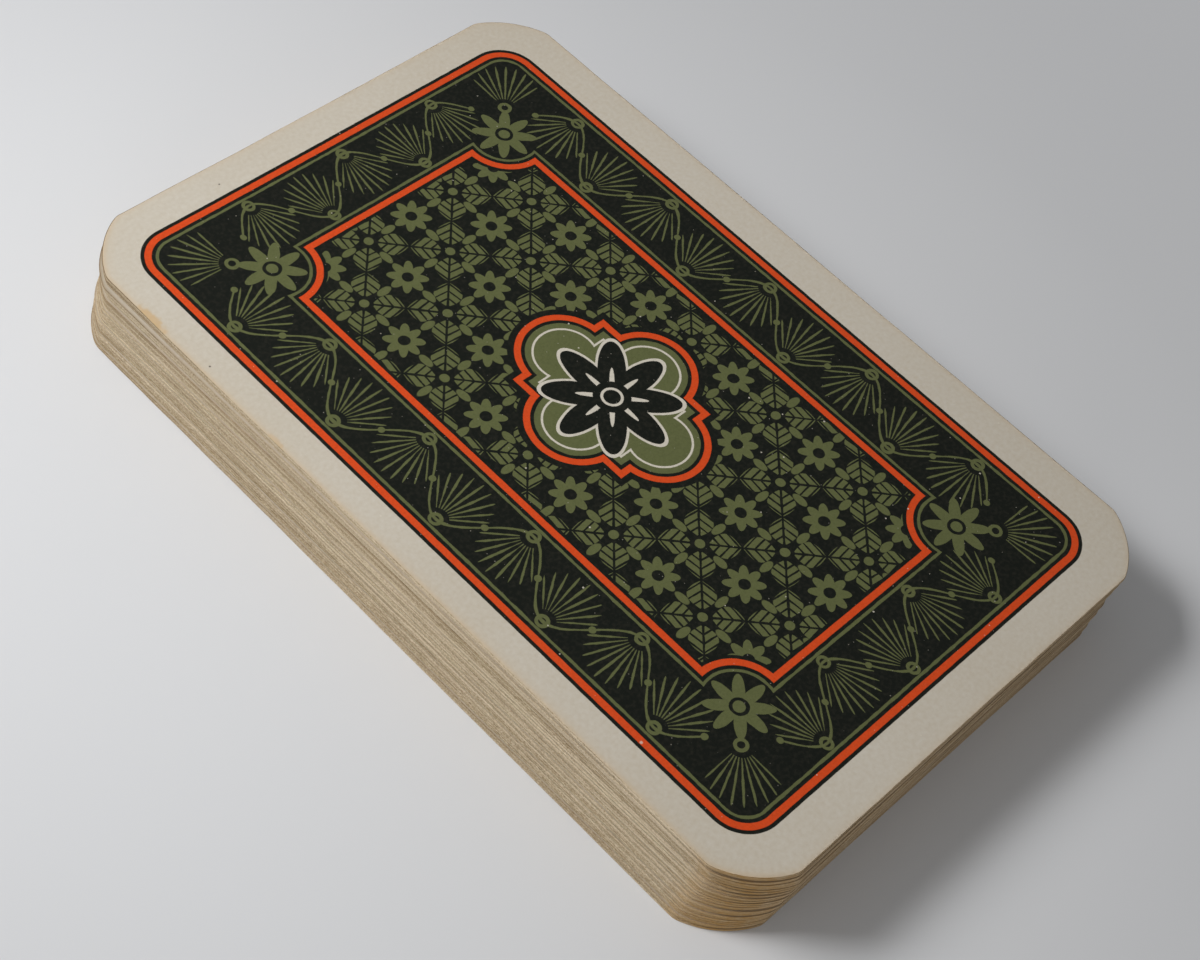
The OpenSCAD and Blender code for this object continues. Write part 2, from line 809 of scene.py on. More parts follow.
@dataclass(frozen=True)
class Trellis:
    """Leaves along the lines of a slanting grid, with a flower in each of its meshes.

    Attributes:
        spacing: Distance from a line of the grid to the next, in millimetres.
        leaf_start: Distance of a leaf's foot from the crossing that it springs from.
        leaf_short: How much shorter a leaf is than half of the spacing.
        leaf_swell: Twice a leaf's width at its middle.
        leaf_slope: Share of a distance across a leaf that is left where its side slants.
        barb_pitch: Distance from a barb of a leaf to the next.
        barb_width: Width of a barb.
        barb_slant: How far a barb slants for each millimetre from the rib.
        rib: Width of the bare rib along a leaf.
        bud_at: Distance of a bud's middle from the crossing.
        bud_w: Half of a bud's width.
        bud_h: Half of a bud's length.
        boss: Radius of the dot on a crossing.
        flower: The flower in a mesh.
        flower_eye: Radius of that flower's bare middle.
    """

    spacing: float = 8.05
    leaf_start: float = 0.8
    leaf_short: float = 0.85
    leaf_swell: float = 5.6
    leaf_slope: float = 0.75
    barb_pitch: float = 0.95
    barb_width: float = 0.7
    barb_slant: float = 0.8
    rib: float = 0.24
    bud_at: float = 2.6
    bud_w: float = 0.42
    bud_h: float = 0.85
    boss: float = 0.5
    flower: Rosette = Rosette(2.1, 1.0)
    flower_eye: float = 0.6

    def _from_line(self, way: Value) -> Value:
        """Distance from the nearest line of the grid, for a distance across the lines."""
        return abs(way - (way / self.spacing).rounded() * self.spacing)

    def distance(self, at: Point) -> Value:
        """Signed distance from the leaves, buds, dots and flowers.

        A leaf's half width follows its share of length less the square of that share.

        Args:
            at: The place, not folded.

        Returns:
            The distance in millimetres.
        """
        half = self.spacing / 2
        turned = at.turned(45.0)
        cell = Point(self._from_line(turned.x), self._from_line(turned.y))
        along, across = cell.x.most(cell.y), cell.x.least(cell.y)
        share = (along - self.leaf_start) / (half - self.leaf_short)
        swell = (share - share * share).most(0.0)
        leaf = (across - swell * self.leaf_swell) * self.leaf_slope
        barb = ((along + across * self.barb_slant) / self.barb_pitch).fraction() - 0.5
        barb = abs(barb) * self.barb_pitch - self.barb_width / 2
        leaf = leaf.most(self.rib / 2 - across).most(barb)
        bud = cell.turned(-45.0).moved(0.0, self.bud_at)
        bud_edge = Point(bud.x / self.bud_w, bud.y / self.bud_h).length() * self.bud_w - self.bud_w
        boss = cell.length() - self.boss
        mesh = Point(half - cell.x, half - cell.y)
        flower = self.flower.distance(mesh).most(self.flower_eye - mesh.length())
        return leaf.least(bud_edge).least(boss).least(flower)


@dataclass(frozen=True)
class Quatrefoil:
    """The middle piece: four round lobes on a box whose corners are barbs, with a flower inside.

    Attributes:
        lobe_r: Radius of the lobes in millimetres.
        lobe_x: Distance of the side lobes from the middle.
        lobe_y: Distance of the end lobes from the middle.
        barb_x: Distance of the barbs from the middle, across the card.
        barb_y: Distance of the barbs from the middle, along the card.
        rule_in: Distance of the cream line from the rim of the olive.
        rule: Width of that line.
        halo: The cream flower that shows round the black one.
        halo_eye: Radius of its middle.
        star: The black flower.
        star_eye: Radius of its middle.
        seeds: The cream strokes on the black flower.
        seed_start: Distance of those strokes from the middle.
        ring: Radius of the cream ring in the middle, on its middle line.
        ring_line: Width of the ring's line.
    """

    lobe_r: float = 4.7
    lobe_x: float = 5.0
    lobe_y: float = 6.4
    barb_x: float = 5.9
    barb_y: float = 7.0
    rule_in: float = 0.75
    rule: float = 0.22
    halo: Rosette = Rosette(7.3, 3.4)
    halo_eye: float = 2.2
    star: Rosette = Rosette(6.9, 2.9)
    star_eye: float = 1.6
    seeds: Rosette = Rosette(3.6, 0.5)
    seed_start: float = 1.9
    ring: float = 1.0
    ring_line: float = 0.28

    def distance(self, at: Point) -> Value:
        """Signed distance from the lobes and the box.

        Args:
            at: The place, folded into the first quarter.

        Returns:
            The distance in millimetres.
        """
        side = at.moved(self.lobe_x, 0.0).length() - self.lobe_r
        end = at.moved(0.0, self.lobe_y).length() - self.lobe_r
        box = (at.x - self.barb_x).most(at.y - self.barb_y)
        return side.least(end).least(box)

    def flower(self, at: Point, olive: Value) -> tuple[Value, Value, Value]:
        """Signed distances from the parts of the flower, from the lowest ink to the highest.

        Args:
            at: The place, folded into the first quarter.
            olive: Signed distance from the olive under the flower.

        Returns:
            The distances from the cream halo and line, from the black flower and from the cream strokes.
        """
        eye = at.length()
        halo = self.halo.distance(at).least(eye - self.halo_eye)
        star = self.star.distance(at).least(eye - self.star_eye)
        seeds = self.seeds.distance(at).most(self.seed_start - eye)
        return (halo.least(stripe(olive, -self.rule_in, self.rule)), star,
                seeds.least(stripe(eye, self.ring, self.ring_line)))


@dataclass(frozen=True)
class BackPrint:
    """The ornament on the backs: palmettes round a trellis of leaves, with a quatrefoil in the middle.

    Attributes:
        off_centre: How far the print lies off the middle of the card, in millimetres.
        frame_w: Half of the outer frame's width, on its middle line.
        frame_h: Half of the outer frame's height, on its middle line.
        frame_radius: Radius of the outer frame's corners.
        line: Width of an orange line.
        gap: Width of the black line beside an orange one.
        hair: Width of a fine olive line.
        band: Distance from the outer frame to the inner one.
        notch: Radius of the inner frame's hollow corners.
        last_cell: Distance of the last palmette of a row from the inner frame's corner.
        long_cells: Palmettes along half of a long side, after the one in the middle.
        short_cells: Palmettes along half of a short side, after the one in the middle.
        foot_in: How far a palmette's foot stays off the line beside it.
        stem: Width of the waving stem.
        stem_slope: Share of a distance across the stem that is left where it slants.
        berry: Radius of the berries on the stem.
        flower_in: How far the tips of a corner's flower stay off the fine line round it.
        flower_w: Width of that flower's petals.
        flower_eye: Radius of its middle.
        flower_ring: Outer radius of the black ring round that.
        palmette: The palmettes.
        trellis: The trellis inside the inner frame.
        middle: The quatrefoil.
    """

    off_centre: tuple[float, float] = (-0.465, 0.273)
    frame_w: float = 24.95
    frame_h: float = 40.55
    frame_radius: float = 3.3
    line: float = 0.68
    gap: float = 0.38
    hair: float = 0.3
    band: float = 9.3
    notch: float = 4.6
    last_cell: float = 3.4
    long_cells: int = 4
    short_cells: int = 2
    foot_in: float = 0.75
    stem: float = 0.22
    stem_slope: float = 0.7
    berry: float = 0.36
    flower_in: float = 0.2
    flower_w: float = 1.2
    flower_eye: float = 0.6
    flower_ring: float = 0.95
    palmette: Palmette = Palmette()
    trellis: Trellis = Trellis()
    middle: Quatrefoil = Quatrefoil()

    @property
    def inner_w(self) -> float:
        """Half of the inner frame's width, on its middle line."""
        return self.frame_w - self.band

    @property
    def inner_h(self) -> float:
        """Half of the inner frame's height, on its middle line."""
        return self.frame_h - self.band

    @property
    def beside(self) -> float:
        """Distance from an orange line's middle to the outer side of the black line beside it."""
        return self.line / 2 + self.gap

    @property
    def clear(self) -> float:
        """Distance from an orange line's middle to the outer side of the fine line beside it."""
        return self.beside + self.hair

    def inner_frame(self, at: Point) -> Value:
        """Signed distance from the inner frame: a box with a round bite out of each corner.

        Args:
            at: The place, folded into the first quarter.

        Returns:
            The distance in millimetres.
        """
        box = rounded_box(at, self.inner_w, self.inner_h, 0.0)
        bite = self.notch - at.moved(self.inner_w, self.inner_h).length()
        return box.most(bite)

    def border(self, at: Point) -> Value:
        """Signed distance from the olive ornament between the frames.

        Palmettes stand along a waving stem, turned in and out by turns, and one fills each corner.

        Args:
            at: The place, folded into the first quarter.

        Returns:
            The distance in millimetres.
        """
        mid_x, mid_y = self.frame_w - self.band / 2, self.frame_h - self.band / 2
        on_end = (at.y - mid_y).over(at.x - mid_x)
        long_step = (self.inner_h - self.last_cell) / self.long_cells
        short_step = (self.inner_w - self.last_cell) / self.short_cells
        along = (at.y / long_step).toward(at.x / short_step, on_end)
        across = (at.x - mid_x).toward(at.y - mid_y, on_end)
        last = on_end * float(self.short_cells - self.long_cells) + float(self.long_cells)
        number = along.rounded().least(last)
        aside = abs(along - number)
        past = aside.over(0.5)
        across = across * (number * math.pi).cosine()
        rise = self.band / 2 - self.clear - self.foot_in
        stem = abs(across - (aside * math.pi).cosine() * rise) * self.stem_slope - self.stem / 2
        berry = Point((aside - 0.5) * long_step, across).length() - self.berry
        cell = Point(aside * long_step, rise - across)
        diagonal = at.moved(self.inner_w, self.inner_h).turned(-45.0)
        spray = Point(abs(diagonal.x), diagonal.y - (self.notch - self.foot_in))
        fan = self.palmette.distance(cell.toward(spray, past))
        return fan.least(stem + past * self.band).least(berry)

    def corner_flower(self, at: Point) -> Value:
        """Signed distance from the olive flower in a hollow corner of the inner frame.

        Args:
            at: The place, folded into the first quarter.

        Returns:
            The distance in millimetres.
        """
        corner = at.moved(self.inner_w, self.inner_h)
        radius = corner.length()
        petals = Rosette(self.notch - self.clear - self.flower_in, self.flower_w)
        around = petals.distance(corner.folded()).most(self.flower_ring - radius)
        return around.least(radius - self.flower_eye)

    def draw(self, shader: Shader, sheet: Point, bare: Value, uneven: Value) -> tuple[Value, Value]:
        """Lay the inks over the bare sheet.

        Args:
            shader: The back's shader.
            sheet: The place on the card.
            bare: Colour of the bare sheet.
            uneven: How far the olive ink falls short of its outline here, in millimetres.

        Returns:
            The printed colour, and how far it is covered with ink.
        """
        at = sheet.moved(*self.off_centre)
        quarter = at.folded()
        outer = rounded_box(quarter, self.frame_w, self.frame_h, self.frame_radius)
        inner = self.inner_frame(quarter)
        middle = self.middle.distance(quarter)
        ground = outer - self.beside

        fine = self.beside + self.hair / 2
        border = self.border(quarter).most(outer + self.clear).most(self.clear - inner)
        lines = stripe(outer, -fine, self.hair).least(stripe(inner, fine, self.hair))
        field = self.trellis.distance(at).most(inner + self.beside).most(self.clear - middle)
        disc = middle + self.beside
        olive = border.least(lines).least(field).least(self.corner_flower(quarter)).least(disc)

        halo, star, seeds = self.middle.flower(quarter, disc)
        orange = stripe(outer, 0.0, self.line).least(stripe(inner, 0.0, self.line))
        orange = orange.least(stripe(middle, 0.0, self.line))

        layers = ((olive + uneven, INK.olive), (halo, INK.cream), (star, INK.black), (seeds, INK.cream),
                  (orange, INK.orange))
        colour = shader.mix(ground.filled(), bare, INK.black)
        for shape, pigment in layers:
            colour = shader.mix(shape.filled(), colour, pigment)
        return colour, ground.filled()


BACK_PRINT = BackPrint()


@dataclass(frozen=True)
class Crown:
    """A court card's crown: a band, and over it points that rise as a zigzag to round tips.

    Attributes:
        points: Number of points.
        half: Half of the crown's width in millimetres.
        low: Height of the band's foot over the middle of the card.
        band: Height of the band.
        gap: Gap between the band and the points.
        tall: Height of the points over the band.
        tip: Radius of a tip.
        overhang: How far the band stands out past the points.
        slope: Share of a height over a point's side that is left where the side slants.
    """

    points: int
    half: float = 9.0
    low: float = 8.0
    band: float = 2.2
    gap: float = 0.5
    tall: float = 9.0
    tip: float = 1.1
    overhang: float = 0.4
    slope: float = 0.4

    def distance(self, at: Point) -> Value:
        """Signed distance from the crown.

        Args:
            at: The place, on the upper half of the card.

        Returns:
            The distance in millimetres.
        """
        pitch = 2 * self.half / (self.points - 1)
        foot = self.low + self.band
        slot = (at.x + self.half) / pitch
        aside = abs(slot - slot.rounded()) * pitch
        reach = abs(at.x) - self.half
        spikes = (at.y - (foot + self.tall) + aside * (2 * self.tall / pitch)) * self.slope
        spikes = spikes.most(foot + self.gap - at.y).most(reach)
        tips = Point(aside, at.y - (foot + self.tall)).length() - self.tip
        base = stripe(at.y, self.low + self.band / 2, self.band).most(reach - self.overhang)
        return spikes.least(tips.most(reach - self.tip)).least(base)


COURTS = {Rank.JACK: Crown(3), Rank.QUEEN: Crown(5), Rank.KING: Crown(7)}


@dataclass(frozen=True)
class Pip:
    """A suit's sign, drawn on axes of its own from 0 at its foot to about 1.1 at its top.

    Attributes:
        suit: The suit.
        middle: Height of the sign's middle.
        heart_slim: How many times slimmer a heart is than the circles and the square that make it.
        diamond_w: Half of a diamond's width.
        diamond_h: Half of its height.
        diamond_slope: Factor from a reach past a diamond's rim to a distance from its side.
        spade_shrink: How many times smaller a spade's leaf is than a heart.
        spade_tip: Height of the tip of that leaf, times spade_shrink.
        club_leaf: Radius of a club's leaves.
        club_top: Middle of its top leaf.
        club_side: Middle of its right leaf.
        club_hub: Middle of the round that joins the leaves.
        club_hub_r: Radius of that round.
        foot_fall: How fast the foot of a spade or a club draws in with its height.
        foot_spread: How far the foot stands out at its base.
        foot_neck: Half of its width at its neck.
        foot_top: Height of its top.
    """

    suit: Suit
    middle: float = 0.55
    heart_slim: float = 1.12
    diamond_w: float = 0.42
    diamond_h: float = 0.56
    diamond_slope: float = 0.33
    spade_shrink: float = 1.18
    spade_tip: float = 1.32
    club_leaf: float = 0.265
    club_top: tuple[float, float] = (0.0, 0.83)
    club_side: tuple[float, float] = (0.285, 0.44)
    club_hub: tuple[float, float] = (0.0, 0.56)
    club_hub_r: float = 0.16
    foot_fall: float = 2.2
    foot_spread: float = 0.24
    foot_neck: float = 0.035
    foot_top: float = 0.6

    def heart(self, at: Point) -> Value:
        """Signed distance from a heart: two circles on a square that stands on its corner.

        Args:
            at: The place, with x folded and the heart's tip at the origin.

        Returns:
            The distance, in the sign's own size.
        """
        half, slant = 0.5, math.sqrt(0.5)
        slim = Point(at.x * self.heart_slim, at.y)
        square = (slim.x + abs(slim.y - half) - half) * slant
        circle = slim.moved(half / 2, half * 3 / 2).length() - half * slant
        return square.least(circle)

    def foot(self, at: Point) -> Value:
        """Signed distance from a foot that spreads to its base as the square of the way down.

        Args:
            at: The place, with x folded.

        Returns:
            The distance, in the sign's own size.
        """
        down = (at.y * -self.foot_fall + 1.0).most(0.0)
        side = at.x - down * down * self.foot_spread - self.foot_neck
        return side.most(0.0 - at.y).most(at.y - self.foot_top)

    def sign(self, at: Point) -> Value:
        """Signed distance from the suit's sign.

        Args:
            at: The place on the sign's own axes, with x folded.

        Returns:
            The distance, in the sign's own size.
        """
        match self.suit:
            case Suit.HEARTS:
                return self.heart(at)
            case Suit.DIAMONDS:
                reach = at.x / self.diamond_w + abs(at.y - self.middle) / self.diamond_h
                return (reach - 1.0) * self.diamond_slope
            case Suit.SPADES:
                leaf = Point(at.x * self.spade_shrink, at.y * -self.spade_shrink + self.spade_tip)
                return self.heart(leaf).least(self.foot(at))
            case Suit.CLUBS:
                leaves = at.moved(*self.club_top).length().least(at.moved(*self.club_side).length())
                hub = at.moved(*self.club_hub).length() - self.club_hub_r
                return (leaves - self.club_leaf).least(hub).least(self.foot(at))

    def distance(self, at: Point, size: float) -> Value:
        """Signed distance in millimetres from a sign of some size about the origin."""
        return self.sign(Point(abs(at.x) / size, at.y / size + self.middle)) * size


@dataclass(frozen=True)
class FacePrint:
    """The pips on a card's face, or the framed crowns of a court card.

    Attributes:
        rank: The card's rank.
        suit: The card's suit.
        column: Distance of the side columns of pips from the middle, in millimetres.
        row: Distance of the end rows of pips from the middle.
        pip_size: Size of a pip.
        ace_size: Size of an ace's single pip.
        court_size: Size of a court card's pips.
        court_pips: Where the pips of a court card's upper half lie.
        panel_w: Half of the width of a court card's panel.
        panel_h: Half of its height.
        panel_radius: Radius of its corners.
        panel_gap: Distance from its outer line to its inner one.
        bold: Width of its outer line.
        fine: Width of its inner line.
        outline: Width of the line round the crown and beside the sash.
        outline_at: Distance of that line's middle from the crown.
        sash_at: Distance of the middle of the red sash from the middle of the card.
        sash: Width of the sash.
        sash_line: Distance of the line beside the sash from the middle of the card.
    """

    rank: Rank
    suit: Suit
    column: float = 14.0
    row: float = 28.0
    pip_size: float = 11.0
    ace_size: float = 21.0
    court_size: float = 8.0
    court_pips: tuple[tuple[float, float], tuple[float, float]] = ((-15.5, 30.5), (0.0, 26.0))
    panel_w: float = 22.0
    panel_h: float = 37.5
    panel_radius: float = 1.5
    panel_gap: float = 1.1
    bold: float = 0.4
    fine: float = 0.22
    outline: float = 0.35
    outline_at: float = 0.2
    sash_at: float = 1.9
    sash: float = 0.9
    sash_line: float = 3.2

    @property
    def colour(self) -> Colour:
        """Colour of the card's pips."""
        return INK.red if self.suit in (Suit.HEARTS, Suit.DIAMONDS) else INK.black

    @property
    def pip(self) -> Pip:
        """The sign of the card's suit."""
        return Pip(self.suit)

    def pips(self, at: Point) -> Value:
        """Signed distance from all the pips of a number card, upside down below its middle.

        Args:
            at: The place on the card.

        Returns:
            The distance in millimetres.
        """
        up = abs(at.y)
        half, third = self.row / 2, self.row / 3
        few = self.rank in (Rank.SEVEN, Rank.EIGHT)
        sides_near, sides_far = (at.y, half) if few else (up - third, 2 * third)
        side = sides_near.toward(up - self.row, up.over(sides_far))
        match self.rank:
            case Rank.SEVEN:
                middle = at.y - half
            case Rank.EIGHT:
                middle = up - half
            case Rank.NINE:
                middle = at.y
            case _:
                middle = up - 2 * third
        aside = abs(at.x)
        out = aside.over(self.column / 2)
        pip_at = Point(aside.toward(aside - self.column, out), middle.toward(side, out))
        return self.pip.distance(pip_at, self.pip_size)

    def court(self, shader: Shader, sheet: Point, bare: Value) -> tuple[Value, Value]:
        """Draw a court card's panel, crowns and sash.

        Args:
            shader: The face's shader.
            sheet: The place on the card.
            bare: Colour of the bare sheet.

        Returns:
            The colour with them on it, and the coverage of the pips.
        """
        upper = sheet.y.over(0.0) * 2.0 - 1.0
        half = Point(sheet.x * upper, abs(sheet.y))
        panel = rounded_box(sheet.folded(), self.panel_w, self.panel_h, self.panel_radius)
        crown = COURTS[self.rank].distance(half)
        lines = stripe(panel, 0.0, self.bold).least(stripe(panel, -self.panel_gap, self.fine))
        lines = lines.least(stripe(crown, self.outline_at, self.outline))
        lines = lines.least(stripe(half.y, self.sash_line, self.outline).most(panel))
        sash = stripe(half.y, self.sash_at, self.sash).most(panel + self.panel_gap)
        colour = shader.mix(crown.least(sash).filled(), bare, INK.red)
        colour = shader.mix(lines.filled(), colour, INK.black)
        first, second = (self.pip.distance(half.moved(*at), self.court_size) for at in self.court_pips)
        return colour, first.least(second).filled()

    def draw(self, shader: Shader, sheet: Point, bare: Value) -> tuple[Value, Value]:
        """Lay the inks over the bare sheet.

        Args:
            shader: The face's shader.
            sheet: The place on the card.
            bare: Colour of the bare sheet.

        Returns:
            The printed colour, and how far it is covered with the pips' ink.
        """
        if self.rank is Rank.ACE:
            cover = self.pip.distance(sheet, self.ace_size).filled()
        elif self.rank in COURTS:
            bare, cover = self.court(shader, sheet, bare)
        else:
            cover = self.pips(sheet).filled()
        return shader.mix(cover, bare, self.colour), cover


def aged_sheet(shader: Shader, place: Value) -> Value:
    """Colour of a bare sheet: toned in clouds and towards its rim, with a few dark specks.

    Args:
        shader: The shader of the sheet.
        place: Where on the sheet, in millimetres.

    Returns:
        The colour.
    """
    mottle = PAPER.clouds.cover(shader, place) + PAPER.fibres.cover(shader, place)
    bare = shader.mix(mottle, PAPER.cream, PAPER.toned)
    rim, on_top, corner = (shader.attribute(name) for name in ("rim", "top", "corner"))
    under = shader.mix(corner, EDGE.tan, EDGE.brown)
    bare = shader.mix(rim, bare, shader.mix(on_top, under, PAPER.handled))
    # Near brown corners the rims darken: on lower cards partly grime and partly painted shade between
    # the cards, on the top card grime.
    grime_and_shade = on_top.times_plus(EDGE.top_grime - EDGE.rim_grime_and_shade, EDGE.rim_grime_and_shade)
    bare = shader.mix(rim * corner * grime_and_shade, bare, EDGE.crevice_grime_and_shade)
    return shader.mix(PAPER.specks.cover(shader, place), bare, PAPER.dirt)


def wavering(shader: Shader, sheet: Point) -> tuple[Point, Value]:
    """Let the outlines of the back's print wander by a noise, as those of an old print do.

    Args:
        shader: The back's shader.
        sheet: The place on the card.

    Returns:
        The place in the print, and how far the olive ink falls short of its outline there.
    """
    scale, detail = INK.bends
    place = shader.place(sheet.x, sheet.y, 0.0)
    bends = shader.node("ShaderNodeTexNoise", None, {"Vector": place, "Scale": scale, "Detail": detail})
    drift = shader.node("ShaderNodeSeparateColor", None, {0: bends.outputs["Color"]})
    across, along, short = (Value(shader, share) for share in drift.outputs)
    drawn = Point(across.times_plus(INK.waver, sheet.x - INK.waver / 2),
                  along.times_plus(INK.waver, sheet.y - INK.waver / 2))
    return drawn, short.times_plus(INK.uneven, -INK.uneven / 2)


def dress_sheet(shader: Shader, colour: Value, inked: Value, place: Value) -> bpy.types.Material:
    """Close the tree of a printed sheet, which is less rough where it is inked.

    Args:
        shader: The shader of the sheet.
        colour: Colour of the printed sheet.
        inked: How far it is covered with ink.
        place: Where on the sheet, in millimetres.

    Returns:
        The finished material.
    """
    scale, detail, depth = PAPER.relief
    roughness = inked.times_plus(INK.roughness - PAPER.roughness, PAPER.roughness)
    return shader.dress(colour, roughness, shader.noise(place, scale, detail), depth, PAPER.specular)


def back_material() -> bpy.types.Material:
    """Make the printed back that all the cards share.

    Returns:
        The material.
    """
    shader = Shader("card_back")
    sheet = shader.sheet_point()
    place = shader.place(sheet.x, sheet.y, shader.attribute("tone") * PAPER.change)
    on_top = shader.attribute("top")
    bare = aged_sheet(shader, place)
    patchy = shader.noise(place, *PAPER.patchy)
    first, second = (stain.cover(sheet, patchy) for stain in PAPER.stains)
    bare = shader.mix(first.most(second) * on_top, bare, PAPER.stain)
    for dot in PAPER.dots:
        bare = shader.mix(dot.cover(sheet) * on_top, bare, PAPER.dirt)
    drawn, uneven = wavering(shader, sheet)
    colour, inked = BACK_PRINT.draw(shader, drawn, bare, uneven)
    colour = shader.mix(INK.worn.cover(shader, place) * inked, colour, PAPER.toned)
    colour = shader.mix(INK.grain.cover(shader, place) * inked, colour, INK.black)
    for holes in INK.pinholes:
        colour = shader.mix(holes.cover(shader, place), colour, INK.cream)
    colour = shader.mix(INK.nick.cover(sheet) * on_top, colour, INK.cream)
    return dress_sheet(shader, colour, inked, place)


def edge_material() -> bpy.types.Material:
    """Make the cut edges that all the cards share: streaked, with brown corners and darkened joints.

    The joints are darkened partly by grime and partly by painted shade, the open joints near the far
    left corner get painted shade, and the left and near sides are made paler by painted light.

    Returns:
        The material.
    """
    shader = Shader("card_edge")
    sheet = shader.sheet_point()
    tone, corner, gap = (shader.attribute(name) for name in ("tone", "corner", "gap"))
    fibre = EDGE.fibre.noise(shader, sheet, tone)
    pale = tone * EDGE.tone_weight + EDGE.streak.noise(shader, sheet, tone) * EDGE.streak_weight
    pale = pale + fibre * EDGE.fibre_weight
    # Painted light: the edge is made paler along the lit left side and along the shaded near side.
    pale = pale + sheet.x.plateau(*EDGE.left_painted_light_span) * EDGE.left_painted_light
    pale = pale + sheet.x.plateau(*EDGE.near_painted_light_span) * EDGE.near_painted_light
    colour = shader.mix(pale.ramp(*EDGE.paleness), EDGE.tan, EDGE.pale)

    between, added = EDGE.browned
    blotch = EDGE.blotch.noise(shader, sheet, tone).ramp(*EDGE.blotch_range)
    colour = shader.mix(corner * (blotch * added + between), colour, EDGE.brown)

    # The joints darken where the cards meet: partly grime, partly painted shade between the cards.
    along, change, detail = EDGE.grime_and_shade
    most, less = EDGE.grime_and_shade_share
    dark_tone, dark_share = EDGE.dark_joint
    lumps = shader.noise(shader.place(sheet.x * along, tone * change, 0.0), 1.0, detail)
    grime_and_shade = lumps.ramp(*EDGE.grime_and_shade_range) * (most - corner * less)
    grime_and_shade = grime_and_shade + tone.over(dark_tone) * corner * dark_share + EDGE.clean_joint
    height = abs(sheet.y)
    colour = shader.mix(height.ramp(*EDGE.joint) * grime_and_shade, colour, EDGE.crevice_grime_and_shade)
    # Painted shade in the open joints by the far left corner.
    colour = shader.mix(height.ramp(*EDGE.opening) * gap * EDGE.opening_shade, colour, EDGE.crevice_grime_and_shade)
    return shader.dress(colour, EDGE.roughness, fibre, EDGE.relief, EDGE.specular)


def face_material(rank: Rank, suit: Suit) -> bpy.types.Material:
    """Make a card's printed face.

    Args:
        rank: The card's rank.
        suit: The card's suit.

    Returns:
        The material.
    """
    shader = Shader(f"face_{rank.value}_of_{suit.value}")
    sheet = shader.sheet_point()
    layer = shader.attribute("tone") * PAPER.change + PAPER.face_shift
    place = shader.place(sheet.x, sheet.y, layer)
    colour, inked = FacePrint(rank, suit).draw(shader, sheet, aged_sheet(shader, place))
    return dress_sheet(shader, colour, inked, place)


@dataclass(frozen=True)
class Placing:
    """Where a card's CAD node lies, in millimetres.

    Attributes:
        centre: Middle of the card.
        angle: How far the card is turned in the pack, in radians.
        width: Width of the card.
        length: Length of the card.
        thickness: Thickness of the card.
    """

    centre: np.ndarray
    angle: float
    width: float
    length: float
    thickness: float

    @classmethod
    def of_node(cls, node: bpy.types.Object) -> Placing:
        """Read a card's place from its CAD mesh, whose points lie evenly about its own two axes.

        Args:
            node: The CAD node.

        Returns:
            The card's place.
        """
        flat = np.empty(len(node.data.vertices) * 3)
        node.data.vertices.foreach_get("co", flat)
        points = np.unique(np.round(flat.reshape(-1, 3) / MM, 4), axis=0)
        centre = points.mean(axis=0)
        spread = points[:, :2] - centre[:2]
        xx, xy, yy = (spread[:, i] @ spread[:, j] for i, j in ((0, 0), (0, 1), (1, 1)))
        angle = -0.5 * math.atan2(2 * xy, yy - xx)
        c, s = math.cos(angle), math.sin(angle)
        own = spread @ np.array([[c, -s], [s, c]])
        width, length = np.ptp(own, axis=0)
        return cls(centre, angle, width, length, float(np.ptp(points[:, 2])))


@dataclass(frozen=True)
class Outline:
    """The rim of a card as a closed path, in millimetres about the card's own centre.

    Attributes:
        points: Places along the rim, anticlockwise.
        normals: Outward directions at those places.
        run: Distance along the rim to each place, with the whole way round at the end.
        corner: How brown each place is, from 0 to 1 in the middle of the brownest corner.
    """

    points: np.ndarray
    normals: np.ndarray
    run: np.ndarray
    corner: np.ndarray


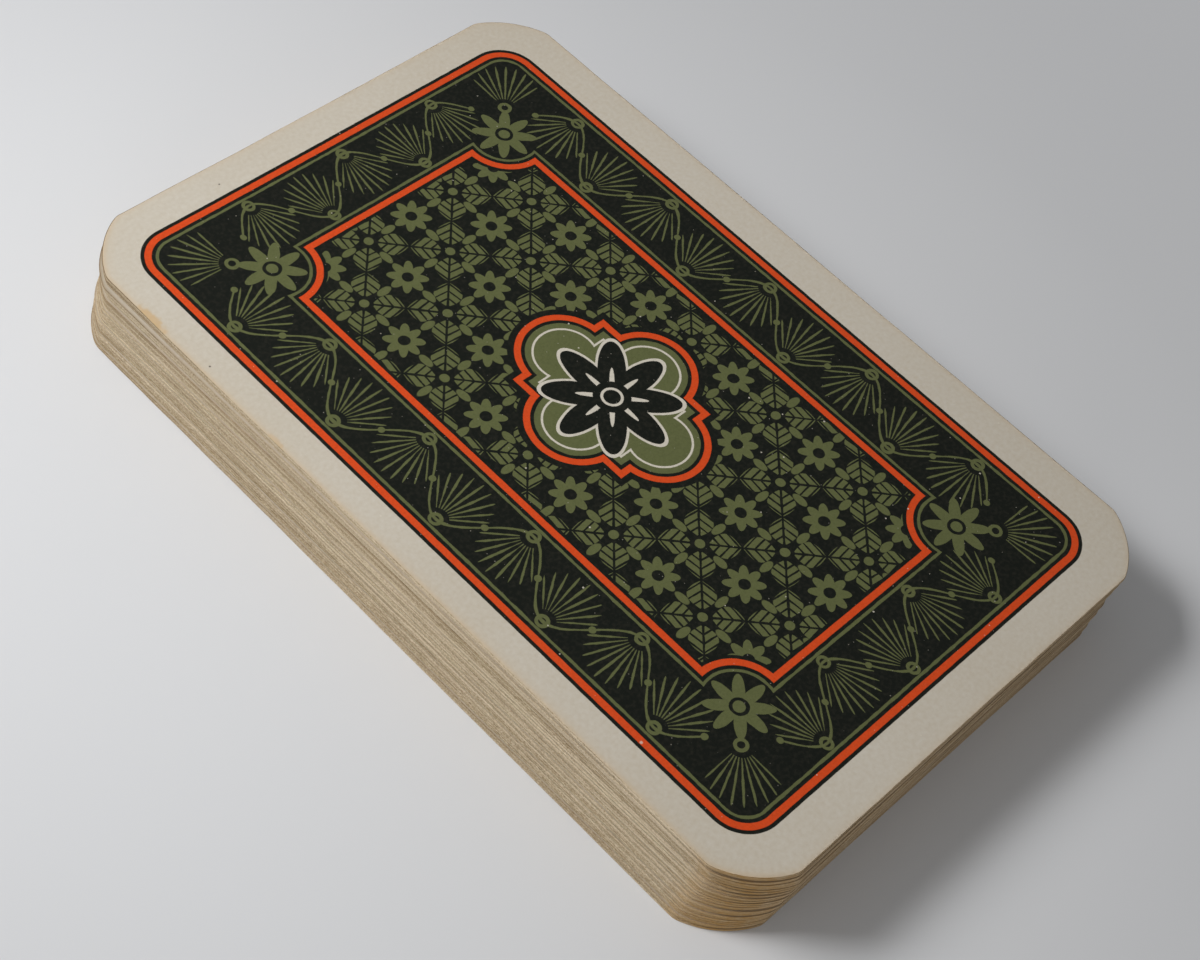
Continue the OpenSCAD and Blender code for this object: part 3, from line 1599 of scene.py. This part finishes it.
@dataclass(frozen=True)
class CardShape:
    """The shape of a card's sheet.

    Attributes:
        corner_cut: How far a corner's cut runs along each edge, in millimetres.
        corner_radius: Radius of the corner's arc, in millimetres.
        soft_rim: How far the worn rim curves in over the edge, in millimetres.
        pressed: How much less it curves where the edge is brown and the cards are pressed together.
        ragged: How far the rim wanders off its line, in millimetres.
        waves: Fewest waves of that wandering round the rim, and the number that they stay under.
        wave_fall: Power of their number by which they get weaker.
        uneven_cut: How far a corner's cut may be off its size, in millimetres.
        wear: How far along the rim its kinks are worn round, in millimetres.
        browning: How brown the corners are, from the far right one anticlockwise.
        corner_ends: How brown the ends of a corner's arc are, as a share of its middle.
        corner_fade: How far browning reaches from a corner along a side, in millimetres.
        side_browning: How brown the sides are, from the right one anticlockwise.
        lifts: How far the far left corners of the top cards have come up, top card first, in mm.
        lift_reach: How far from that corner those cards have come up, in millimetres.
        shaded_joints: How many joints from the top down are given painted shade there.
        handled: Distances from the left side between which the top card's rim loses its tint, in mm.
        handled_least: Share of its tint that the rest of that rim keeps.
        rim_fade: How far in from a lower card's rim its tint fades, in millimetres.
        top_rim_fade: The same on the top card.
        seed: Number that the bottom card's unevenness comes from, with one more for each card up.
        long_points: Points along a long side.
        short_points: Points along a short side.
        arc_points: Points round a corner.
        end_points: More points near a side's ends, by their distance from it, in millimetres.
        rim_insets: Rings near the rim, by their distance in from it, in millimetres.
        inner_shares: Rings further in, by their share of the way out from the middle.
        edge_angles: Rings round the edge, by their angle up its rounded profile, in degrees.
    """

    corner_cut: float = 5.6
    corner_radius: float = 10.0
    soft_rim: float = 0.08
    pressed: float = 0.5
    ragged: float = 0.045
    waves: tuple[int, int] = (2, 60)
    wave_fall: float = 0.75
    uneven_cut: float = 0.035
    wear: float = 0.4
    browning: tuple[float, float, float, float] = (0.5, 0.15, 1.0, 0.35)
    corner_ends: float = 0.6
    corner_fade: float = 1.3
    side_browning: tuple[float, float, float, float] = (0.15, 0.2, 0.0, 0.48)
    lifts: tuple[float, ...] = (0.24, 0.215, 0.12)
    lift_reach: float = 15.0
    shaded_joints: int = 12
    handled: tuple[float, float] = (3.0, 8.0)
    handled_least: float = 0.5
    rim_fade: float = 0.24
    top_rim_fade: float = 0.3
    seed: int = 700
    long_points: int = 54
    short_points: int = 32
    arc_points: int = 18
    end_points: tuple[float, ...] = (0.1, 0.3, 0.55, 0.95)
    rim_insets: tuple[float, ...] = (1.4, 0.6, 0.22)
    inner_shares: tuple[float, ...] = (0.3, 0.55, 0.78, 0.92)
    edge_angles: tuple[float, ...] = (60.0, 30.0, 0.0, -30.0, -60.0)

    def outline(self, width: float, length: float, rng: np.random.Generator) -> Outline:
        """Lay out the rim: four times a side and the arc after it, each a quarter turn on.

        Args:
            width: Width of the card.
            length: Length of the card.
            rng: Where this card's uneven corners and rim come from.

        Returns:
            The rim.
        """
        cuts = self.corner_cut + rng.uniform(-1.0, 1.0, 4) * self.uneven_cut
        extra = np.array(self.end_points)
        points, normals, corner = [], [], []
        half, other = np.array([width, length]) / 2
        for turn, cut in enumerate(cuts):
            ends = cuts[turn - 1] - other, other - cut
            along = np.linspace(*ends, (self.long_points, self.short_points)[turn % 2] + 2)[1:-1]
            along = np.sort(np.concatenate((along, ends[0] + extra, ends[1] - extra)))
            inset = cut / 2 + math.sqrt((self.corner_radius**2 - cut**2 / 2) / 2)
            start = math.atan2(inset - cut, inset)
            ease = (1 - np.cos(np.linspace(0, math.pi, self.arc_points))) / 2
            sweep = start + ease * (math.pi / 2 - 2 * start)
            arc = np.column_stack((np.cos(sweep), np.sin(sweep)))
            c, s = round(math.cos(turn * math.pi / 2)), round(math.sin(turn * math.pi / 2))
            spin = np.array([[c, s], [-s, c]])
            side = np.column_stack((np.full_like(along, half), along))
            points += [side @ spin, ((half - inset, other - inset) + self.corner_radius * arc) @ spin]
            normals += [np.tile((1.0, 0.0), (len(along), 1)) @ spin, arc @ spin]
            before, after = self.browning[turn - 1], self.browning[turn]
            fades = [np.exp(-((np.abs(along - end) / self.corner_fade) ** 2)) for end in ends]
            by_corners = self.corner_ends * np.dot((before, after), fades)
            on_arc = self.corner_ends + (1 - self.corner_ends) * np.sin(ease * math.pi)
            corner += [np.maximum(by_corners, self.side_browning[turn]), after * on_arc]
            half, other = other, half
        rim, out = np.concatenate(points), np.concatenate(normals)
        steps = np.linalg.norm(np.roll(rim, -1, axis=0) - rim, axis=1)
        run = np.concatenate(([0.0], np.cumsum(steps)))
        rim, out = self._worn(rim, run), self._worn(out, run)
        out /= np.linalg.norm(out, axis=1, keepdims=True)
        return Outline(rim + out * self._wander(run, rng)[:, None], out, run, np.concatenate(corner))

    def _worn(self, values: np.ndarray, run: np.ndarray) -> np.ndarray:
        """Round off kinks: each value becomes a mean over the rim near it, weighed by a bell.

        Args:
            values: A row of values for each place on the rim.
            run: Distance along the rim to each place, with the whole way round at the end.

        Returns:
            The new values.
        """
        place, whole = run[:-1], run[-1]
        away = (place[:, None] - place + whole / 2) % whole - whole / 2
        steps = np.diff(run)
        weight = np.exp(-((away / self.wear) ** 2)) * (steps + np.roll(steps, 1))
        return weight @ values / weight.sum(axis=1, keepdims=True)

    def _wander(self, run: np.ndarray, rng: np.random.Generator) -> np.ndarray:
        """Add up waves round the rim, each weaker as it gets shorter, that close on themselves.

        Args:
            run: Distance along the rim to each place, with the whole way round at the end.
            rng: Where the waves' phases come from.

        Returns:
            How far each place wanders outwards, in millimetres.
        """
        waves = np.arange(*self.waves)
        phases = rng.uniform(0, 2 * math.pi, len(waves))
        around = run[:-1, None] / run[-1] * 2 * math.pi * waves + phases
        return (np.sin(around) / waves**self.wave_fall).sum(axis=1) * self.ragged / 2


@dataclass(frozen=True)
class BakeMap:
    """Where a card's surfaces lie on the square that a finish is baked to, as shares of its side.

    Attributes:
        back_scale: Share of the square to a millimetre of the back.
        face_scale: Share of the square to a millimetre of the face.
        back_corner: Low corner of the back.
        face_corner: Low corner of the face.
        strips: Number of strips that the edge is cut into.
        strip_corner: Low corner of the first strip of edge.
        strip_scale: Share of the square to a millimetre along a strip.
        strip_height: Height of a strip.
        strip_pitch: Rise from one strip to the next.
    """

    back_scale: float = 0.0104
    face_scale: float = 0.0060
    back_corner: tuple[float, float] = (0.008, 0.02)
    face_corner: tuple[float, float] = (0.634, 0.44)
    strips: int = 4
    strip_corner: tuple[float, float] = (0.634, 0.02)
    strip_scale: float = 0.0036
    strip_height: float = 0.07
    strip_pitch: float = 0.1

    def flat(self, sheet: np.ndarray, half: np.ndarray, part: Part) -> np.ndarray:
        """Map places on a card's back or face.

        Args:
            sheet: Places in millimetres about the card's middle.
            half: Half of the card's width and length.
            part: The back or the face.

        Returns:
            Places on the square.
        """
        scale, corner = ((self.back_scale, self.back_corner) if part is Part.BACK
                         else (self.face_scale, self.face_corner))
        return np.array(corner) + (sheet + half) * scale

    def strip(self, along: np.ndarray, up: np.ndarray, number: np.ndarray) -> np.ndarray:
        """Map places on a card's edge, which is cut into strips.

        Args:
            along: Distance along the strip in millimetres.
            up: Share of the way across the edge.
            number: Number of the strip.

        Returns:
            Places on the square.
        """
        u = self.strip_corner[0] + along * self.strip_scale
        v = self.strip_corner[1] + number * self.strip_pitch + up * self.strip_height
        return np.stack((u, v), axis=-1)


@dataclass
class Card:
    """One card of the pack.

    Attributes:
        rank: The card's rank.
        suit: The card's suit.
        level: The card's place in the pack, from 0 at the bottom.
        shape: The shape of its sheet.
    """

    rank: Rank
    suit: Suit
    level: int
    shape: CardShape

    @property
    def depth(self) -> int:
        """How many cards lie over this one."""
        return len(Suit) * len(Rank) - 1 - self.level

    @property
    def is_top(self) -> bool:
        """Whether this is the top card of the pack."""
        return self.depth == 0

    @property
    def name(self) -> str:
        """The card's node and body in the frame."""
        return f"{self.rank.value}_of_{self.suit.value}"

    def build(self, node: bpy.types.Object, materials: Iterable[bpy.types.Material]) -> bpy.types.Object:
        """Make the card's sheet where its CAD node lies, and dress it.

        The sheet is one profile carried round the rim: from the middle of the back out to the rim,
        round the edge, and in to the middle of the face.

        Args:
            node: The CAD node.
            materials: The finishes of the back, the edge and the face.

        Returns:
            The card.
        """
        rng = np.random.default_rng(self.shape.seed + self.level)
        placing = Placing.of_node(node)
        rim = self.shape.outline(placing.width, placing.length, rng)
        rings, heights, fade = self._rings(rim, placing.thickness)
        count, around = len(rings), len(rim.points)
        poles = np.zeros((2, 2))
        flat = np.concatenate((rings.reshape(-1, 2), poles))
        half_t = placing.thickness / 2
        rise = np.concatenate((np.repeat(heights, around), (half_t, -half_t)))
        far_left = self._far_left(flat, placing)
        lift = sum(self.shape.lifts[self.depth:self.depth + 1])

        mesh = bpy.data.meshes.new(self.name)
        points = self._placed(flat, rise + lift * far_left, placing)
        mesh.from_pydata(points, [], self._faces(count, around))
        part = self._parts(count, around)
        mesh.polygons.foreach_set("material_index", part.astype(np.int32))
        mesh.polygons.foreach_set("use_smooth", np.ones(len(part), bool))
        self._map(mesh, flat, rise, rim, part, count, placing)
        self._mark(mesh, rim, fade, far_left, rng)
        mesh.validate()
        mesh.update()
        for material in materials:
            mesh.materials.append(material)
        return add_object(f"card_{self.name}", mesh)

    def _rings(self, rim: Outline, thickness: float) -> tuple[np.ndarray, np.ndarray, np.ndarray]:
        """Carry the profile round the rim.

        The edge's profile is half of a superellipse of the fourth power: flat, with soft corners.

        Args:
            rim: The card's rim.
            thickness: Thickness of the card.

        Returns:
            The places of the rings, the height of each ring, and how near each is to the rim.
        """
        shape = self.shape
        insets = np.array((*shape.rim_insets, shape.soft_rim))
        soft = shape.soft_rim * (1 - shape.pressed * rim.corner)
        steps = np.concatenate((np.tile(insets[:-1, None], len(soft)), soft[None]))
        near = rim.points - rim.normals * steps[:, :, None]
        inner = near[0] * np.array(shape.inner_shares)[:, None, None]
        angles = np.radians(shape.edge_angles)
        out, up = np.sqrt(np.cos(angles)), np.sign(angles) * np.sqrt(np.abs(np.sin(angles)))
        edge = rim.points - rim.normals * np.outer(1 - out, soft)[:, :, None]
        back = np.concatenate((inner, near))
        rings = np.concatenate((back, edge, back[::-1]))
        half = thickness / 2
        heights = np.concatenate((np.full(len(back), half), half * up, np.full(len(back), -half)))
        fade_in = shape.top_rim_fade if self.is_top else shape.rim_fade
        back_fade = np.concatenate((np.zeros(len(inner)), np.exp(-insets / fade_in)))
        fade = np.concatenate((back_fade, np.ones(len(angles)), back_fade[::-1]))
        return rings, heights, fade

    def _far_left(self, flat: np.ndarray, placing: Placing) -> np.ndarray:
        """How near each point is to the far left corner, as a bell about that corner.

        Args:
            flat: Places of the points about the card's middle.
            placing: The card's place.

        Returns:
            The nearness, which is 1 on the corner.
        """
        corner = np.array([-placing.width, placing.length]) / 2
        away = np.linalg.norm(flat - corner, axis=1) / self.shape.lift_reach
        return np.exp(-(away**2))

    @staticmethod
    def _placed(flat: np.ndarray, rise: np.ndarray, placing: Placing) -> np.ndarray:
        """Turn the sheet and move it to its place in the pack.

        Args:
            flat: Places of its points about the card's middle, in millimetres.
            rise: Heights of its points, in millimetres.
            placing: The card's place.

        Returns:
            The points in metres.
        """
        c, s = math.cos(placing.angle), math.sin(placing.angle)
        turned = flat @ np.array([[c, s], [-s, c]])
        return (np.column_stack((turned, rise)) + placing.centre) * MM

    @staticmethod
    def _faces(count: int, around: int) -> list[list[int]]:
        """List the corners of the quads between rings and of the triangles at the two poles.

        Args:
            count: Number of rings.
            around: Points in a ring.

        Returns:
            The quads, and then the triangles.
        """
        ring, step = np.meshgrid(np.arange(count - 1), np.arange(around), indexing="ij")
        after = (step + 1) % around
        quads = np.stack((ring * around + step, (ring + 1) * around + step,
                          (ring + 1) * around + after, ring * around + after), axis=-1).reshape(-1, 4)
        here = np.arange(around)
        there = (here + 1) % around
        last, pole = (count - 1) * around, count * around
        back = np.column_stack((np.full(around, pole), here, there))
        face = np.column_stack((np.full(around, pole + 1), last + there, last + here))
        return [*quads.tolist(), *back.tolist(), *face.tolist()]

    def _parts(self, count: int, around: int) -> np.ndarray:
        """List the surface that each face belongs to: the rows of quads, and then the two poles.

        Args:
            count: Number of rings.
            around: Points in a ring.

        Returns:
            The surfaces' numbers.
        """
        backs = len(self.shape.inner_shares) + len(self.shape.rim_insets)
        edges = len(self.shape.edge_angles) + 1
        parts = (Part.BACK, Part.EDGE, Part.FACE, Part.BACK, Part.FACE)
        rows = np.array((backs, edges, count - 1 - backs - edges, 1, 1))
        return np.repeat([part.value for part in parts], rows * around)

    def _map(self, mesh: bpy.types.Mesh, flat: np.ndarray, rise: np.ndarray, rim: Outline,
             part: np.ndarray, count: int, placing: Placing) -> None:
        """Give the sheet its map in millimetres and the map that finishes are baked to.

        On the back and the face the first map holds the place on the card, and on the edge the
        distance along the rim and the height.

        Args:
            mesh: The card's mesh.
            flat: Places of its points about the card's middle.
            rise: Heights of its points.
            rim: The card's rim.
            part: The surface that each face belongs to.
            count: Number of rings.
            placing: The card's place.
        """
        around = len(rim.points)
        total = np.empty(len(mesh.polygons), np.int32)
        mesh.polygons.foreach_get("loop_total", total)
        loop_point = np.empty(len(mesh.loops), np.int32)
        mesh.loops.foreach_get("vertex_index", loop_point)
        loop_part = np.repeat(part, total)
        loop_step = np.repeat(np.tile(np.arange(around), count + 1), total)
        closing = (loop_point % around == 0) & (loop_step == around - 1)
        run = rim.run[np.where(closing, around, loop_point % around)]
        on_edge = loop_part == Part.EDGE.value
        sheet = np.where(on_edge[:, None], np.column_stack((run, rise[loop_point])), flat[loop_point])

        bake = BakeMap()
        half = np.array([placing.width, placing.length]) / 2 + self.shape.ragged
        on_back = (loop_part == Part.BACK.value)[:, None]
        square = np.where(on_back, bake.flat(sheet, half, Part.BACK), bake.flat(sheet, half, Part.FACE))
        strip = np.minimum(rim.run[loop_step] * bake.strips // rim.run[-1], bake.strips - 1)
        along = run - strip * rim.run[-1] / bake.strips
        up = rise[loop_point] / placing.thickness + 0.5
        square = np.where(on_edge[:, None], bake.strip(along, up, strip), square)
        for name, places in ((SHEET_MAP, sheet), (BAKE_MAP, square)):
            layer = mesh.uv_layers.new(name=name)
            layer.uv.foreach_set("vector", places.astype(np.float32).ravel())

    def _mark(self, mesh: bpy.types.Mesh, rim: Outline, fade: np.ndarray, far_left: np.ndarray,
              rng: np.random.Generator) -> None:
        """Give the sheet the numbers that its finishes read.

        They are its tone, how near its rim and its brown corners are, whether it lies on top, and how
        much painted shade its joint gets by the far left corner.

        Args:
            mesh: The card's mesh.
            rim: The card's rim.
            fade: How near each ring is to the rim.
            far_left: How near each point is to the far left corner.
            rng: Where the card's tone comes from.
        """
        around, count = len(rim.points), len(fade)
        poles = np.zeros(2)
        handled = np.ones(around)
        if self.is_top:
            from_left = rim.points[:, 0] - rim.points[:, 0].min()
            handled = np.interp(from_left, self.shape.handled, (1.0, self.shape.handled_least))
        marks = {
            "tone": np.full(count * around + 2, rng.uniform()),
            "rim": np.concatenate((np.outer(fade, handled).ravel(), poles)),
            "corner": np.concatenate((np.tile(rim.corner, count), poles)),
            "top": np.full(count * around + 2, float(self.is_top)),
            # gap: how much painted shade the joint gets by the far left corner.
            "gap": far_left * max(0.0, 1.0 - self.depth / self.shape.shaded_joints),
        }
        for name, values in marks.items():
            layer = mesh.attributes.new(name, "FLOAT", "POINT")
            layer.data.foreach_set("value", values.astype(np.float32))


@dataclass
class Pack:
    """The whole pack of cards.

    Attributes:
        shape: The shape that all the cards share.
    """

    shape: CardShape

    def build(self, frame: dict[str, Any]) -> None:
        """Make every card, let it ride on its body and stand for its node.

        Args:
            frame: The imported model.
        """
        back, edge = back_material(), edge_material()
        order = [(suit, rank) for suit in Suit for rank in Rank]
        for level, (suit, rank) in enumerate(order):
            card = Card(rank, suit, level, self.shape)
            piece = card.build(frame["nodes"][card.name], (back, edge, face_material(rank, suit)))
            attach(piece, card.name)
            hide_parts(card.name)
            LOG.info("card %s: %d points", card.name, len(piece.data.vertices))


@dataclass(frozen=True)
class SoftBox:
    """A square lamp that shines softly.

    Attributes:
        place: Where it stands, in metres.
        aim: The point that it faces, in metres.
        size: Its width in metres.
        power: Its power in watts.
        spread: How widely its light fans out, in degrees.
    """

    place: tuple[float, float, float]
    aim: tuple[float, float, float]
    size: float
    power: float
    spread: float

    def build(self, name: str) -> None:
        """Set the lamp up.

        Args:
            name: The lamp's name.
        """
        data = bpy.data.lights.new(name, "AREA")
        data.shape, data.size, data.energy = "SQUARE", self.size, self.power
        data.spread = math.radians(self.spread)
        away = np.array(self.place) - self.aim
        away /= np.linalg.norm(away)
        side = np.cross((0.0, 0.0, 1.0), away)
        side /= np.linalg.norm(side)
        stand(add_object(name, data), (side, np.cross(away, side), away), self.place)


@dataclass
class Studio:
    """The floor, the lights and the camera.

    Attributes:
        eye: The camera's place in millimetres, from the frame's origin moved up to the pack's top.
        heading: Direction that the camera looks in, from +X, in degrees.
        dip: How far down the camera looks, in degrees.
        roll: How far the camera is turned about its own axis, in degrees.
        lens: The camera's focal length in millimetres.
        sensor: Width of the camera's sensor in millimetres.
        clip: Nearest and furthest distance that the camera sees, in metres.
        floor_colour: Colour of the floor.
        floor_glow: Colour that evens out what is seen of the floor.
        floor_share: Share of that colour in what is seen of the floor far from the pack.
        floor_clear: Distance from the pack at which that share starts to grow, in metres.
        floor_far: Distance from the pack at which it is full, in metres.
        floor_size: Width of the floor in metres.
        floor_drop: Distance of the floor under the pack in metres, so that no two faces share a plane.
        key: The main lamp, to the left of the photograph.
        bounce: A weak, low lamp by the near corner, for the light that is thrown back there.
        fill: Strength of the even light from all round.
    """

    eye: tuple[float, float, float] = (-121.5, -73.31, 168.83)
    heading: float = 30.61
    dip: float = 52.03
    roll: float = 17.56
    lens: float = 69.23
    sensor: float = 36.0
    clip: tuple[float, float] = (0.01, 20.0)
    floor_colour: Colour = ink(219, 220, 222)
    floor_glow: Colour = ink(208, 209, 212)
    floor_share: float = 0.85
    floor_clear: float = 0.07
    floor_far: float = 0.22
    floor_size: float = 40.0
    floor_drop: float = 0.00002
    key: SoftBox = SoftBox((-0.218, 0.266, 0.295), (-0.047, 0.057, 0.0), 0.2, 0.172, 43.0)
    bounce: SoftBox = SoftBox((-0.21, -0.13, 0.06), (-0.02, -0.03, 0.0), 0.12, 0.04, 120.0)
    fill: float = 0.225

    def set_camera(self, top: float) -> None:
        """Put the camera where the photograph was taken from.

        Args:
            top: Height of the pack's top in metres.
        """
        data = bpy.data.cameras.new("camera")
        data.lens, data.sensor_width, data.sensor_fit = self.lens, self.sensor, "HORIZONTAL"
        data.clip_start, data.clip_end = self.clip
        heading, dip, roll = (math.radians(v) for v in (self.heading, self.dip, self.roll))
        ahead = np.array([math.cos(heading), math.sin(heading), 0.0])
        level = np.array([math.sin(heading), -math.cos(heading), 0.0])
        forward = math.cos(dip) * ahead - (0.0, 0.0, math.sin(dip))
        upright = np.cross(level, forward)
        right = math.cos(roll) * level + math.sin(roll) * upright
        place = np.array(self.eye) * MM + (0.0, 0.0, top)
        camera = add_object("camera", data)
        stand(camera, (right, np.cross(right, forward), -forward), place)
        bpy.context.scene.camera = camera

    def set_floor(self) -> None:
        """Lay a plain pale floor under the pack."""
        half = self.floor_size / 2
        mesh = bpy.data.meshes.new("floor")
        corners = [(-half, -half), (half, -half), (half, half), (-half, half)]
        mesh.from_pydata([(x, y, -self.floor_drop) for x, y in corners], [], [(0, 1, 2, 3)])
        floor = add_object("floor", mesh)
        shader = Shader("floor")
        surface = shader.node("ShaderNodeBsdfPrincipled", None, {
            "Base Color": (*self.floor_colour, 1.0), "Roughness": 1.0, "Specular IOR Level": 0.0})
        glow = shader.node("ShaderNodeEmission", None, {"Color": (*self.floor_glow, 1.0)})
        rays = shader.node("ShaderNodeLightPath").outputs
        seen, mirrored, through = (Value(shader, rays[f"Is {kind} Ray"])
                                   for kind in ("Camera", "Glossy", "Transmission"))
        spot = shader.node("ShaderNodeTexCoord").outputs["Object"]
        across = shader.node("ShaderNodeVectorMath", {"operation": "LENGTH"}, {0: spot}).outputs["Value"]
        far = Value(shader, across).ramp(self.floor_clear, self.floor_far)
        share = seen.most(mirrored).most(through) * far * self.floor_share
        mixed = shader.node("ShaderNodeMixShader", None,
                            {0: share, 1: surface.outputs[0], 2: glow.outputs[0]})
        shader.node("ShaderNodeOutputMaterial", None, {0: mixed.outputs[0]})
        mesh.materials.append(shader.material)
        floor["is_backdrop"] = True

    def set_lights(self) -> None:
        """Light the pack softly from the left of the photograph, with an even fill from all round."""
        world = bpy.data.worlds.new("studio")
        bpy.context.scene.world = world
        world.use_nodes = True
        sky = world.node_tree.nodes["Background"]
        sky.inputs["Color"].default_value = (1.0, 1.0, 1.0, 1.0)
        sky.inputs["Strength"].default_value = self.fill
        self.key.build("key")
        self.bounce.build("bounce")


def main() -> None:
    """Build the pack round its frame and set the studio."""
    logging.basicConfig(level=logging.INFO, format="%(name)s: %(message)s")
    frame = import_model()
    cad_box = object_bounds()
    bpy.context.scene.view_settings.view_transform = "Standard"
    studio = Studio()
    studio.set_camera(cad_box[1][2])
    Pack(CardShape()).build(frame)
    studio.set_floor()
    studio.set_lights()


if __name__ == "__main__":
    main()
